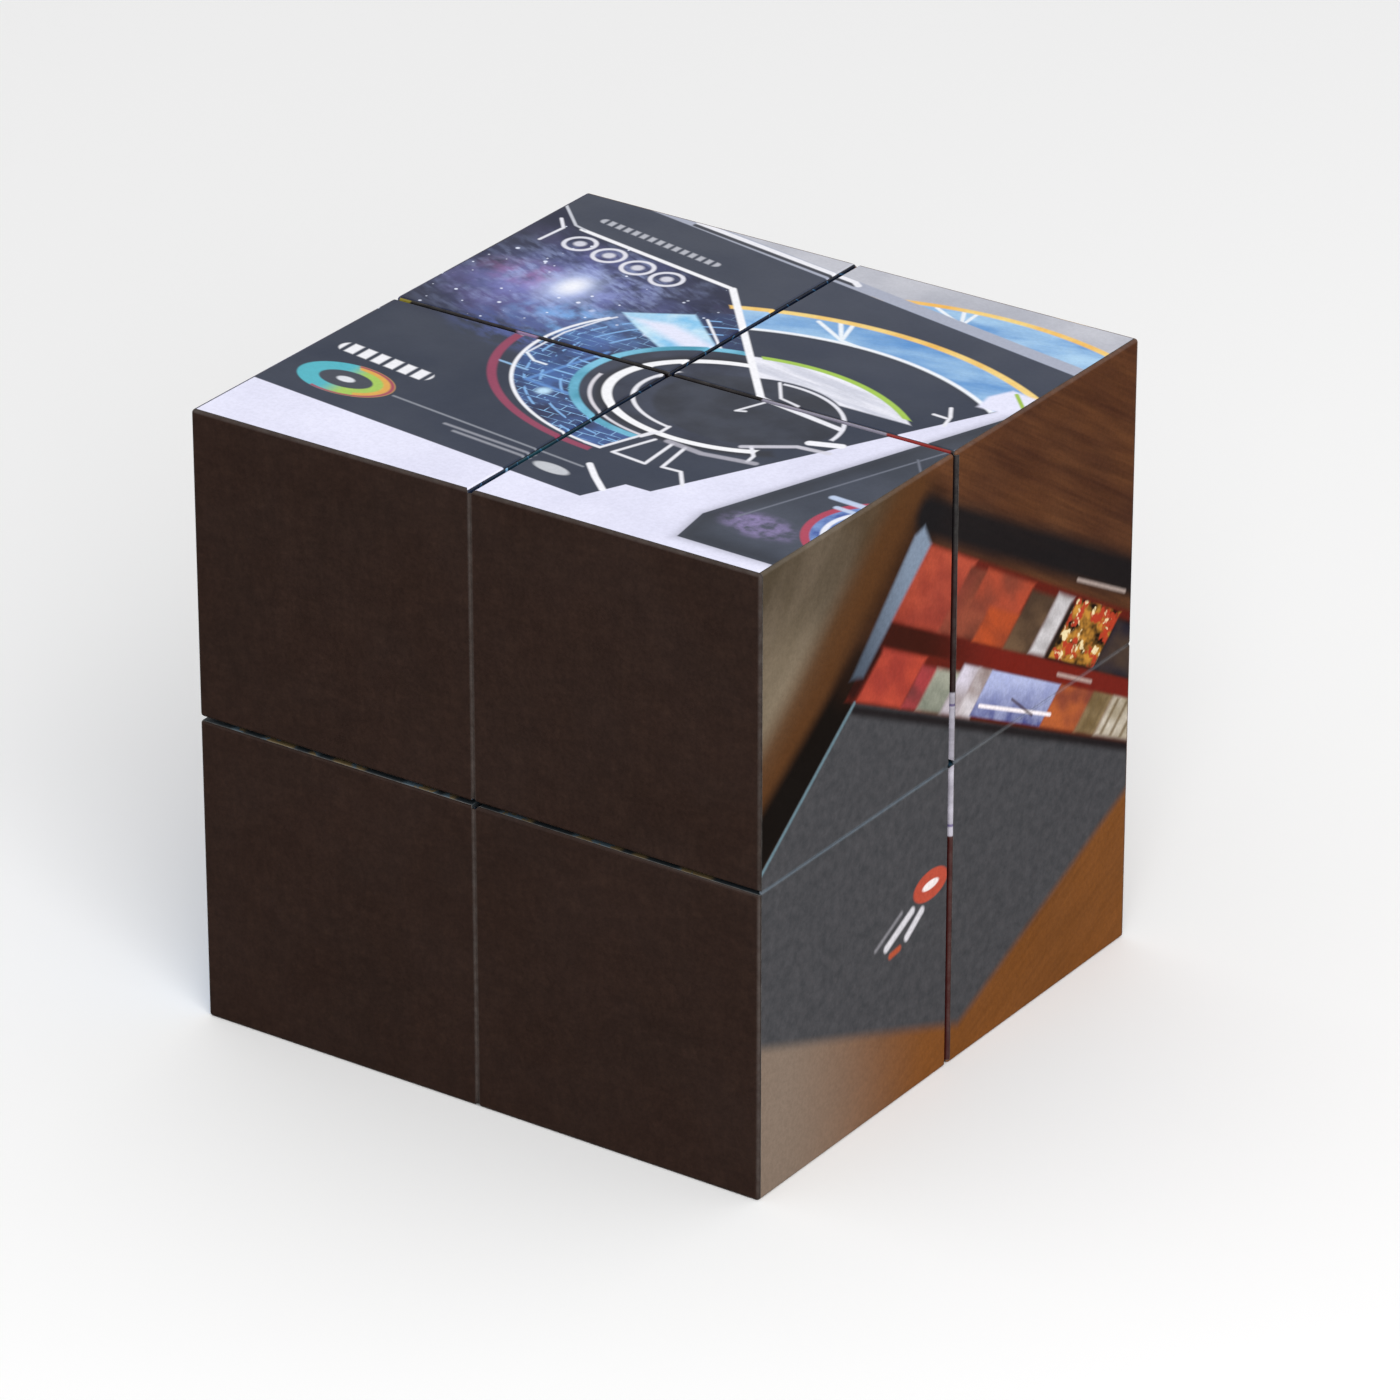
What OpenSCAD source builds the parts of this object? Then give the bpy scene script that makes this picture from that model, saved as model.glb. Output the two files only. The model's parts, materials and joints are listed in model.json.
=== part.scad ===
// Folding picture cube: eight hollow cubelets, two by two by two, wrapped in printed film.
// Eight film hinges join the cubelets into one closed ring, so that the cube unfolds into
// slabs and bars and folds back with other pictures outside.
// +Z is up, +X is right, -Y is front, and the origin is the middle of the cube's bottom.

/* [Cube] */
// Edge of the closed cube, over the film
cube_w = 70; // [50:1:100]
// Slit between neighbouring cubelets
slit = 0.4; // [0.3:0.1:0.8]
// Radius of each cubelet's free edges, over the film
edge_r = 0.4; // [0.4:0.1:1.5]

/* [Film] */
// Thickness of the printed and laminated film
film_t = 0.25; // [0.15:0.05:0.35]

/* [Moulded shells] */
// Wall of the box and plate of the lid
wall = 1.5; // [1:0.1:2.5]
// How far the lid's rim reaches into the box
rim_h = 3; // [2:0.5:6]
// Thickness of the rim
rim_t = 1.2; // [0.8:0.1:2]
// Space between the rim and the box
rim_play = 0.05; // [0.05:0.05:0.2]
// Width of the ribs across the inside of the lid
rib_t = 1; // [0.8:0.1:1.5]

/* [Hidden] */
$fn = 48;
// Each cubelet's name, and which side of the cube it is on along X, Y and Z
CUBELETS = [
    for (y = [["front", -1], ["back", 1]])
        for (z = [["lower", -1], ["upper", 1]])
            for (x = [["left", -1], ["right", 1]])
                [str(y[0], "_", z[0], "_", x[0]), [x[1], y[1], z[1]]]
];
SHELLS = ["_box", "_lid", "_outer_print", "_inner_print"];
HINGES = [
    "front_lower_hinge", "front_upper_hinge", "back_lower_hinge", "back_upper_hinge",
    "right_front_hinge", "right_back_hinge", "inner_lower_hinge", "inner_upper_hinge"
];

cubelet_w = (cube_w - slit) / 2;     // edge of one cubelet, over the film
core_w = cubelet_w - 2 * film_t;     // edge of the moulded cube inside the film
core_r = edge_r - film_t;            // radius of the moulded cube's edges
well_w = core_w - 2 * wall;          // width of the hollow
past = 1;                            // how far cutting solids run past what they cut
open_pivot_play = 0.1;               // the upper inner hinge is free of the back cubelet
strip_l = cubelet_w - 2 * edge_r;    // length of a hinge strip

PRINT_BROWN = "#2e211c";
PRINT_SLATE = "#565c68";
HIPS_WHITE = "#e6e4df";
LAMINATE = "#8b8f97";

// Square with rounded corners, where the corners listed in sharp stay square.
// A corner is [0 or 1, 0 or 1]: low or high along the square's own X and Y.
module eased_square(w, r, sharp = []) {
    translate([r, 0]) square([w - 2 * r, w]);
    translate([0, r]) square([w, w - 2 * r]);
    for (cx = [0, 1], cy = [0, 1])
        if (len([for (s = sharp) if (s == [cx, cy]) s]) > 0)
            translate([cx * (w - r), cy * (w - r)]) square(r);
        else
            translate([r + cx * (w - 2 * r), r + cy * (w - 2 * r)]) circle(r);
}

// Cube with rounded edges, from the origin towards +X, +Y and +Z. Its low faces are those
// inside the whole cube. The two edges that carry a hinge stay square: every cubelet has
// one at low X and high Y, a right one has the other at high X and low Z, and a left one
// at low Y and low Z.
module eased_cube(w, r, right) {
    intersection() {
        linear_extrude(w) eased_square(w, r, sharp = [[0, 1]]);
        // drawn in the X and Z plane
        translate([0, w, 0]) rotate([90, 0, 0])
            linear_extrude(w) eased_square(w, r, sharp = right ? [[1, 0]] : []);
        // drawn in the Y and Z plane
        rotate([90, 0, 90])
            linear_extrude(w) eased_square(w, r, sharp = right ? [] : [[0, 0]]);
    }
}

// Moulded cube inside the film, before it is hollowed and split
module core(right) {
    translate([film_t, film_t, film_t]) eased_cube(core_w, core_r, right);
}

// Everything inside the three outer prints, and past the cubelet on its inner sides
module behind_outer_prints(right) {
    translate([-past, -past, -past])
        eased_cube(cubelet_w - film_t + past, core_r, right);
}

// Slab that holds the lid's plate, at the cubelet's low Z side
module lid_zone() {
    translate([-past, -past, -past])
        cube([cubelet_w + 2 * past, cubelet_w + 2 * past, past + film_t + wall]);
}

// Moulded tub: five walls, open towards the cube's middle plane
module box_shell(right) {
    color(HIPS_WHITE) difference() {
        core(right);
        lid_zone();
        translate([film_t + wall, film_t + wall, film_t])
            cube([well_w, well_w, well_w + wall]);
    }
}

// Moulded lid: a plate with a rim and two crossed ribs, pressed into the tub
module lid_shell(right) {
    rim_w = well_w - 2 * rim_play;
    plate_top = film_t + wall;
    color(HIPS_WHITE) union() {
        intersection() {
            core(right);
            lid_zone();
        }
        translate([plate_top + rim_play, plate_top + rim_play, plate_top]) {
            difference() {
                cube([rim_w, rim_w, rim_h]);
                translate([rim_t, rim_t, -past])
                    cube([rim_w - 2 * rim_t, rim_w - 2 * rim_t, rim_h + 2 * past]);
            }
            translate([(rim_w - rib_t) / 2, rim_t / 2, 0])
                cube([rib_t, rim_w - rim_t, rim_h]);
            translate([rim_t / 2, (rim_w - rib_t) / 2, 0])
                cube([rim_w - rim_t, rib_t, rim_h]);
        }
    }
}

// Printed film over the three faces that are outside when the cube is closed
module outer_print(right) {
    color(PRINT_BROWN) difference() {
        eased_cube(cubelet_w, edge_r, right);
        behind_outer_prints(right);
    }
}

// Printed film over the three faces that are inside when the cube is closed
module inner_print(right) {
    color(PRINT_SLATE) difference() {
        intersection() {
            eased_cube(cubelet_w, edge_r, right);
            behind_outer_prints(right);
        }
        core(right);
    }
}

// Puts what is drawn for the cubelet at +X, +Y, +Z on the sides of the cube given by s
module place(s) {
    translate([0, 0, cube_w / 2])
        mirror([s.x < 0 ? 1 : 0, 0, 0])
            mirror([0, s.y < 0 ? 1 : 0, 0])
                mirror([0, 0, s.z < 0 ? 1 : 0])
                    translate([slit / 2, slit / 2, slit / 2]) children();
}

// Film across the slit at the left, between two cubelets side by side on an outer Y face
module side_hinge() {
    color(LAMINATE) translate([-slit, cubelet_w - film_t, edge_r])
        cube([slit, film_t, strip_l]);
}

// Film across the slit below, between two cubelets one over the other on the right face
module right_hinge() {
    color(LAMINATE) translate([cubelet_w - film_t, edge_r, -slit])
        cube([film_t, strip_l, slit]);
}

// Film across the slit behind, between two cubelets on the cube's middle plane. free is
// the space that it leaves to the cubelet it isn't fixed to.
module inner_hinge(free = 0) {
    color(LAMINATE) translate([edge_r, -slit + free, 0])
        cube([strip_l, slit - free, film_t]);
}

for (c = CUBELETS) {
    right = c[1].x > 0;
    place(c[1]) box_shell(right);
    place(c[1]) lid_shell(right);
    place(c[1]) outer_print(right);
    place(c[1]) inner_print(right);
}
place([1, -1, -1]) side_hinge();  // front_lower_hinge
place([1, -1, 1]) side_hinge();  // front_upper_hinge
place([1, 1, -1]) side_hinge();  // back_lower_hinge
place([1, 1, 1]) side_hinge();  // back_upper_hinge
place([1, -1, 1]) right_hinge();  // right_front_hinge
place([1, 1, 1]) right_hinge();  // right_back_hinge
place([-1, -1, -1]) inner_hinge();  // inner_lower_hinge
place([-1, -1, 1]) inner_hinge(open_pivot_play);  // inner_upper_hinge
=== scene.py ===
import json
import math

import bmesh
import bpy
from mathutils import Matrix, Vector

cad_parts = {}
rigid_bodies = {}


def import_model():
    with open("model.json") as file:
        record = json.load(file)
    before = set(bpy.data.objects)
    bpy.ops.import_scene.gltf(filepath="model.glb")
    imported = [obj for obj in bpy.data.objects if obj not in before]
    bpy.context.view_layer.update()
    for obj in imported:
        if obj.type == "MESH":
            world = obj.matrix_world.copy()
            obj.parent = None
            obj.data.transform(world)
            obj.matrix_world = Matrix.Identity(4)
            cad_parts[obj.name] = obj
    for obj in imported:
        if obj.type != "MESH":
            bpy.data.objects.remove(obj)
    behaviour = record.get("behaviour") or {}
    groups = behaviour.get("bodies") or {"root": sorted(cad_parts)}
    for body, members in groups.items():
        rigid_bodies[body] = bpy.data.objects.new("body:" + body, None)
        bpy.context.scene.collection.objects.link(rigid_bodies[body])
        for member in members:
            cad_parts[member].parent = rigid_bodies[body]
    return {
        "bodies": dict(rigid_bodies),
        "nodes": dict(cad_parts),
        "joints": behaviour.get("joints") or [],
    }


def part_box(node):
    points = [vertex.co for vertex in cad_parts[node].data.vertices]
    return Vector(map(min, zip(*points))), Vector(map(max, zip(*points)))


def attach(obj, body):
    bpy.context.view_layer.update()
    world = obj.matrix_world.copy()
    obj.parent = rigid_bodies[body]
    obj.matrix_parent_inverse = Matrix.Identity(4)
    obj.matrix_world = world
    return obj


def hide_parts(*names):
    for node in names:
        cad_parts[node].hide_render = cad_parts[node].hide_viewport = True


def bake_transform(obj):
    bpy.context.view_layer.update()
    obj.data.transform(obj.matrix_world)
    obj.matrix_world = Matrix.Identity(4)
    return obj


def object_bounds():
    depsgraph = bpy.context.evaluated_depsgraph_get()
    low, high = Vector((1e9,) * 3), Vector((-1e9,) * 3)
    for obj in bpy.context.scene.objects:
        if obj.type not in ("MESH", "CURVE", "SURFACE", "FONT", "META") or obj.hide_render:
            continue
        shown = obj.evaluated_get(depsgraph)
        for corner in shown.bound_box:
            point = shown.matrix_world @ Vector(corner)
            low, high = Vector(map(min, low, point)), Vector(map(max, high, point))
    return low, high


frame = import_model()
CAD_LOW, CAD_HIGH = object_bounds()

MM = 0.001
CUBE_W = (CAD_HIGH.x - CAD_LOW.x) / MM
CENTRE = (CAD_LOW + CAD_HIGH) / 2
EDGE_R = 0.4 * MM            # radius of the film where it wraps a free edge
EDGE_STEPS = 5               # faces round that radius
FILM_T = 0.24 * MM           # film, a hair thinner than the space the shell leaves for it
SEAM = 0.03 * MM             # how far each panel of film stops short of its fold
CREASE_DEPTH = 0.08 * MM     # how far a hinge's film is pressed into the slit
CREASE_CURVE = 1.3           # above 1, the film curves down to its crease
TOUCH_GAP = 0.005 * MM       # space between a hinge's film and the panels beside it

# Which axis each word of a cubelet's name speaks of, and which side of the cube
SIDE_WORDS = {
    "left": (0, -1), "right": (0, 1), "front": (1, -1),
    "back": (1, 1), "lower": (2, -1), "upper": (2, 1),
}
# The face that each outer panel shows, and the spread that each inner panel belongs to
OUTER_NAMES = {
    (0, -1): "left", (0, 1): "right", (1, -1): "front",
    (1, 1): "back", (2, -1): "bottom", (2, 1): "top",
}
INNER_NAMES = ["inside_x", "inside_y", "inside_z"]
# Each film hinge and the joint it lies across
HINGES = {
    "front_lower_hinge": "front_door",
    "front_upper_hinge": "front_door_upper",
    "back_lower_hinge": "back_door",
    "back_upper_hinge": "back_door_upper",
    "right_front_hinge": "top_fold",
    "right_back_hinge": "top_fold_back",
    "inner_lower_hinge": "inner_fold",
}
# The film hinge where the ring of cubelets is opened, and the one body it rides on
OPEN_HINGE = ("inner_upper_hinge", "front_upper_left")


# ---------------------------------------------------------------- materials

def linear(colour):
    """An sRGB hex colour as linear red, green, blue and alpha."""
    steps = [int(colour[i : i + 2], 16) / 255 for i in (1, 3, 5)]
    return (*[c / 12.92 if c <= 0.04045 else ((c + 0.055) / 1.055) ** 2.4 for c in steps], 1)


def put(tree, kind, inputs, out=0, **settings):
    """Adds a node with these settings. Inputs go by place or by name: a socket is linked, a hex colour
    is turned linear, and anything else is set. Returns one output."""
    made = tree.nodes.new("ShaderNode" + kind)
    for name, setting in settings.items():
        setattr(made, name, setting)
    for key, value in inputs.items() if isinstance(inputs, dict) else enumerate(inputs):
        if isinstance(value, bpy.types.NodeSocket):
            tree.links.new(value, made.inputs[key])
        else:
            made.inputs[key].default_value = linear(value) if isinstance(value, str) else value
    return made.outputs[out]


class Picture:
    """A picture on one face of the cube or on one inner spread, printed in layers from the ground up.
    Places are millimetres across and up from the face's middle. A shape is the distance from its outline
    in millimetres, below zero inside it."""

    def __init__(self, tree, across, up):
        self.tree = tree
        place = put(tree, "TexCoord", (), out=3)
        # millimetres from the cube's middle along X, Y and Z
        self.place = put(
            tree, "VectorMath", (place, (1 / MM,) * 3, tuple(-CENTRE / MM)), operation="MULTIPLY_ADD"
        )
        turn = Matrix.Identity(3)
        turn[0], turn[1] = [float(i == across) for i in range(3)], [float(i == up) for i in range(3)]
        turn[2] = turn[0].cross(turn[1])
        # the same laid flat, so that X is across, Y is up and Z is nothing
        self.at = put(
            tree, "Mapping",
            (place, (-CENTRE[across] / MM, -CENTRE[up] / MM, 0), tuple(turn.to_euler("XYZ")),
             tuple(float(i in (across, up)) / MM for i in range(3))),
            vector_type="POINT",
        )
        self.across, self.up = (
            put(tree, "VectorMath", (self.at, axis), out=1, operation="DOT_PRODUCT")
            for axis in ((1, 0, 0), (0, 1, 0))
        )
        self.colour = None

    def put(self, kind, inputs, out=0, **settings):
        return put(self.tree, kind, inputs, out, **settings)

    # shapes

    def side(self, start, end):
        """Everything left of the line from start to end."""
        start, end = Vector(start), Vector(end)
        along = (end - start).normalized()
        right = Vector((along.y, -along.x))
        reach = self.put("VectorMath", (self.at, (*right, 0)), out=1, operation="DOT_PRODUCT")
        return self.put("Math", (reach, start.dot(right)), operation="SUBTRACT")

    def over(self, up):
        return self.put("Math", (up, self.up), operation="SUBTRACT")

    def under(self, up):
        return self.put("Math", (self.up, up), operation="SUBTRACT")

    def east(self, across):
        return self.put("Math", (across, self.across), operation="SUBTRACT")

    def west(self, across):
        return self.put("Math", (self.across, across), operation="SUBTRACT")

    def both(self, first, *others):
        for other in others:
            first = self.put("Math", (first, other), operation="MAXIMUM")
        return first

    def either(self, first, *others):
        for other in others:
            first = self.put("Math", (first, other), operation="MINIMUM")
        return first

    def outside(self, shape):
        return self.put("Math", (shape, -1.0), operation="MULTIPLY")

    def patch(self, *corners):
        """A patch with straight sides and no hollow corner, its corners given anticlockwise."""
        return self.both(*[self.side(a, b) for a, b in zip(corners, corners[1:] + corners[:1])])

    def oval(self, centre, across, up, tilt=0.0):
        """An oval with these two radii, tilted by so many degrees."""
        local = self.at
        if tilt:
            turn = {"Vector": local, "Center": (*centre, 0), "Angle": -math.radians(tilt)}
            local = self.put("VectorRotate", turn, rotation_type="Z_AXIS")
        middle = (-centre[0] / across, -centre[1] / up, 0)
        local = self.put("VectorMath", (local, (1 / across, 1 / up, 1), middle), operation="MULTIPLY_ADD")
        reach = self.put("VectorMath", (local,), out=1, operation="LENGTH")
        mean = (across + up) / 2
        return self.put("Math", (reach, mean, -mean), operation="MULTIPLY_ADD")

    def disc(self, centre, radius):
        return self.oval(centre, radius, radius)

    def ring(self, shape, width):
        """The outline of a shape, drawn that wide."""
        edge = self.put("Math", (shape,), operation="ABSOLUTE")
        return self.put("Math", (edge, width / 2), operation="SUBTRACT")

    def stroke(self, width, *points):
        """A line that wide through these points."""
        nearest = []
        for start, end in zip(points, points[1:]):
            run = Vector(end) - Vector(start)
            local = self.put("VectorMath", (self.at, (*start, 0)), operation="SUBTRACT")
            share = self.put(
                "VectorMath", (local, (*(run / run.length_squared), 0)), out=1, operation="DOT_PRODUCT"
            )
            share = self.put("Math", (share, 1.0), operation="MINIMUM")
            share = self.put("Math", (share, 0.0), operation="MAXIMUM")
            foot = self.put("VectorMath", {0: (*run, 0), "Scale": share}, operation="SCALE")
            nearest.append(self.put("VectorMath", (local, foot), out=1, operation="DISTANCE"))
        return self.put("Math", (self.either(*nearest), width / 2), operation="SUBTRACT")

    def bars(self, period, share):
        """Upright bars that far apart, each as wide as this share of the period."""
        comb = self.put("Math", (self.across, period / 2), operation="PINGPONG")
        return self.put("Math", (comb, share * period / 2), operation="SUBTRACT")

    # fields from 0 to 1

    def fade(self, value, start, end, low=0.0, high=1.0):
        """Goes smoothly from low to high as the value goes from start to end, and stays there."""
        return self.put(
            "MapRange", (value, start, end, low, high), interpolation_type="SMOOTHSTEP", clamp=False
        )

    def cloud(self, size, seed=0, stretch=1.0, tilt=0.0, detail=4.0, contrast=0.2):
        """Cloudy noise with blotches of that size, drawn out along the tilt where stretch is above 1."""
        place = self.put(
            "Mapping",
            (self.at, (0, 0, -7.3 * seed), (0, 0, math.radians(tilt)), (size * stretch, size, 1)),
            vector_type="TEXTURE",
        )
        noise = self.put("TexNoise", {"Vector": place, "Scale": 1.0, "Detail": detail, "Roughness": 0.55})
        return self.fade(noise, 0.5 - contrast, 0.5 + contrast)

    def specks(self, gap, radius, share, seed=0):
        """Round specks about that far apart, of which this share is drawn."""
        place = self.put("Mapping", (self.at, (seed * 3.7, seed * 5.1, seed * 2.3)), vector_type="POINT")
        cells = {"Vector": place, "Scale": 1 / gap}
        spots = self.put("TexVoronoi", cells)
        pick = self.put("SeparateColor", (self.put("TexVoronoi", cells, out=1),))
        size = self.fade(pick, 1 - share, 1.0, 0.0, radius / gap)
        gone = self.put("Math", (spots, size), operation="SUBTRACT")
        return self.fade(gone, 0.03, -0.06)

    def product(self, first, *others):
        for other in others:
            first = self.put("Math", (first, other), operation="MULTIPLY")
        return first

    # inks

    def mix(self, low, high, share, **settings):
        return self.put("Mix", {0: share, 6: low, 7: high}, out=2, data_type="RGBA", **settings)

    def ink(self, colour, shape, blur=0.2, strength=1.0):
        """Prints a colour inside the shape, with an edge that blurs over so many millimetres."""
        cover = self.fade(shape, blur / 2, -blur / 2, 0.0, strength)
        self.colour = self.mix(self.colour, colour, cover)

    def wash(self, colour, share):
        """Prints a colour all over, as strongly as the field says."""
        self.colour = self.mix(self.colour, colour, share)


def sky(p, size=5.0, seed=0):
    """Blue sky with drawn-out white cloud."""
    return p.mix("#2479c4", "#b6daf5", p.cloud(size, seed, stretch=2.6, tilt=12, detail=6, contrast=0.3))


def beam(p):
    """Everything on the near side of the slanting beam."""
    return p.side((11.2, 0), (-7, 22))


def poster_ground(p):
    """A slate panel on lilac."""
    p.colour = p.mix("#dedef3", "#e9e9fd", p.cloud(14, 1))
    slate = p.mix("#2c3446", "#3a4050", p.fade(p.up, 2, 30))
    slate = p.mix(slate, "#454b5c", p.product(p.cloud(9, 2, detail=6), 0.22))
    notch = p.either(p.side((9.8, -29.8), (12, -25)), p.over(-25))
    p.ink(slate, p.both(p.side((-35, -24.8), (9.8, -29.8)), p.side((15, -25), (30, 5)), notch))


def far_sky(p):
    """Pale band behind the panel, with a second arc of sky in it."""
    behind = p.side((-26, 34.6), (35, 23))
    p.ink(p.mix("#b0b2bd", "#c6c7d0", p.cloud(12, 3)), behind)
    far_arc = p.disc((22.3, -9.7), 41)
    p.ink(sky(p, 4.5, 4), p.both(far_arc, behind))
    fan = p.either(
        p.stroke(0.45, (18, 27.3), (13.4, 29.8)),
        p.stroke(0.45, (18, 27.3), (16.2, 30.8)),
        p.stroke(0.45, (18, 27.3), (17.8, 31)),
    )
    p.ink("#eef4fb", fan, 0.3)
    p.ink(p.mix("#f2b24a", "#f6dc8c", p.cloud(9, 5)), p.both(p.ring(far_arc, 0.85), behind), 0.35)
    p.ink("#a9aec0", p.stroke(1.9, (-27, 35.7), (36, 23.7)), 0.35)
    p.ink("#3a3d48", p.stroke(0.7, (-20, 33.9), (3.0, 29.9)), 0.3)
    p.ink("#f1f1f8", p.stroke(0.75, (-20, 34.6), (2.6, 30.6), (3.4, 30.0)), 0.3)


def star_cloud(p):
    """Star cloud in violet night, which fades out below the middle."""
    night = p.either(
        p.patch((-36, 27.4), (-36, -8), (17.4, -8), (-7, 22)),
        p.patch((-36, 31.6), (-36, 27), (-29.8, 26.2)),
    )
    low_edge = p.fade(p.up, -3.5, 2.5)
    cloud = p.cloud(9, 6, stretch=1.6, tilt=-25, detail=6)
    violet = p.mix(p.mix("#181c36", "#373d6e", cloud), "#7468a4", p.fade(cloud, 0.5, 1.0, 0, 0.55))
    core = p.oval((-21.5, 12.8), 9.5, 7.5, 15)
    violet = p.mix("#1c2138", violet, p.fade(core, 10, -4, 0.12, 1.0))
    haze = p.product(p.fade(core, 6, -8), p.cloud(3.4, 8, detail=6, contrast=0.22))
    violet = p.mix(violet, "#8a93dc", p.product(haze, 0.8))
    pink = p.product(p.fade(p.oval((-26.5, 13.0), 5, 2.6), 3, -2.6), p.cloud(2, 31, detail=6))
    violet = p.mix(violet, "#b07cb8", p.product(pink, 0.55))
    blue = p.product(p.fade(p.oval((-15, 5), 7.5, 4.5), 4, -4), p.cloud(2.2, 32, detail=6))
    violet = p.mix(violet, "#79ace8", blue)
    streaks = p.product(
        p.cloud(0.9, 33, stretch=3.5, tilt=-24, detail=5, contrast=0.12), p.fade(core, 11, -6)
    )
    streaks = p.product(streaks, p.cloud(3, 34, detail=3, contrast=0.15))
    violet = p.mix(violet, "#b4c4f4", p.product(streaks, 0.5))
    violet = p.mix(violet, "#c3d2fb", p.fade(p.oval((-21.4, 12.6), 2.8, 3.4), 2.4, -2.2, 0, 0.8))
    violet = p.mix(violet, "#f4f6ff", p.fade(p.oval((-21.3, 12.8), 1.5, 2.2), 1.2, -1.6))
    p.ink(violet, night, 0.2, low_edge)
    dust = p.product(
        p.fade(p.oval((-16, 1), 12, 5), 2, -4), p.cloud(1.4, 35, stretch=2.5, tilt=-20, contrast=0.12)
    )
    p.ink("#4c5a92", night, 0.2, dust)
    for gap, radius, share, seed in ((1.3, 0.22, 0.5, 1), (2.3, 0.34, 0.5, 3), (4.2, 0.62, 0.4, 2)):
        stars = p.specks(gap, radius, share, seed)
        p.ink("#e6ecff", night, 0.2, p.product(stars, low_edge))


def circuit_print(p):
    """Circuit print between the outer and the inner rings, with a bright window at its top."""
    outer = p.oval((7, -0.5), 23, 18.7)
    dial = p.both(outer, p.side((4.8, -19.2), (7, -13.4)), beam(p))
    hatch = p.put(
        "TexBrick",
        {"Vector": p.at, "Scale": 1.0, "Mortar Size": 0.09, "Mortar Smooth": 0.4, "Brick Width": 2.6,
         "Row Height": 1.15},
        out=1,
    )
    circuit = p.mix(
        p.mix("#20284f", "#456aaa", p.cloud(5, 9)),
        "#8fc0ee",
        p.product(hatch, p.cloud(2.6, 36, contrast=0.1)),
    )
    p.ink(circuit, dial, 0.3, p.fade(p.up, 12, -4, 0.25, 0.85))
    for radius in (17.2, 19.4, 21.2):
        arc = p.ring(p.oval((7, -1.2), radius, radius * 0.815), 0.28)
        broken = p.fade(p.cloud(2.4, 37 + radius, contrast=0.1), 0.4, 0.6)
        p.ink("#7fb0e4", p.both(arc, dial), 0.25, broken)
    p.ink("#5f8fd0", p.stroke(0.5, (-8.3, 0.8), (-11.3, -9.5), (-3.6, -10.2)), 0.5, 0.9)
    for step in range(5):
        p.ink(
            "#86b9ea",
            p.stroke(0.28, (-8.8 - 0.5 * step, -0.8 - 1.7 * step), (-6.8 - 0.1 * step, -0.8 - 1.7 * step)),
            0.25,
        )
    p.ink("#bfe3fa", p.disc((-8.1, -10.9), 0.75), 1.0)
    p.ink("#e6f0fb", p.stroke(0.35, (-15.2, -3.9), (-13.4, -5.2), (-11.8, -5.3)), 0.3)
    p.ink("#8fb8e0", p.stroke(0.35, (-16.6, -7.1), (-12.6, -7.5)), 0.3)
    bright = p.patch((-13, 10.2), (-9.6, 7.8), (-3.9, 4.4), (1, 7.6), (-6.4, 14))
    p.ink(p.mix("#7fc3ee", "#d5effc", p.cloud(5, 10)), bright, 0.5)
    p.ink("#e9eafd", p.patch((-11, 9.6), (-2.5, 6.2), (0.2, 8.2), (-6.8, 10.6)), 1.6, 0.95)
    p.ink("#f0f2fa", p.stroke(0.3, (-4.6, 13.6), (5.5, 3.4)), 0.3)


def dial_rings(p):
    """Rings of teal, crimson and white round a dark dial."""
    near = beam(p)
    teal = p.oval((7, -3), 14.7, 11.9)
    p.ink(p.mix("#282c3b", "#3c4254", p.cloud(6, 11)), p.both(teal, near), 0.3)
    p.ink(
        p.mix("#3f93ad", "#7cc4e2", p.cloud(7, 12)),
        p.both(p.ring(teal, 1.0), p.side((6.3, -14.9), (8, 40)), near),
        0.35,
    )
    p.ink("#23252f", p.both(p.ring(p.oval((10, -3.2), 14.4, 10.3), 1.6), near), 1.0, 0.8)
    p.ink(
        "#d9d6df",
        p.both(p.ring(p.oval((8.6, -3.1), 14.4, 11.3), 0.4), p.side((6.2, -30), (6.3, 0)), p.under(-4)),
        0.3,
    )
    crimson = p.ring(p.oval((7, -0.5), 25.5, 19.6), 0.95)
    low_left = p.both(p.under(-0.6), p.side((4.0, -30), (4.2, 0)))
    p.ink("#923f5c", p.both(crimson, low_left), 0.35)
    outer = p.oval((7, -0.5), 23, 18.7)
    p.ink("#f2f3fa", p.both(p.ring(outer, 0.4), p.side((4.8, -30), (4.9, 0)), p.under(8.4)), 0.3)
    p.ink("#e4e8f4", p.stroke(0.3, (-15.2, -3.6), (-15.0, 2.5), (-13.6, 7.2), (-12.8, 8.8)), 0.3)

    dark_dial = p.oval((12, -3.2), 10.6, 7.8)
    p.ink(p.mix("#292d39", "#383d4b", p.cloud(5, 13)), dark_dial, 0.8)
    p.ink(
        "#f7f7fb",
        p.both(
            p.ring(p.oval((10, -3.2), 14, 9.9), 1.0),
            p.either(p.side((6.2, -30), (6.3, 40)), p.under(-9)),
            p.side((18.2, -20), (18.4, -5)),
            p.either(near, p.under(-5)),
        ),
        0.3,
    )
    p.ink(
        "#e8e8f0",
        p.both(p.ring(p.oval((10, -3.2), 11, 8.1), 0.45), p.side((7.4, -30), (7.5, 0)), p.under(1)),
        0.3,
    )


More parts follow.
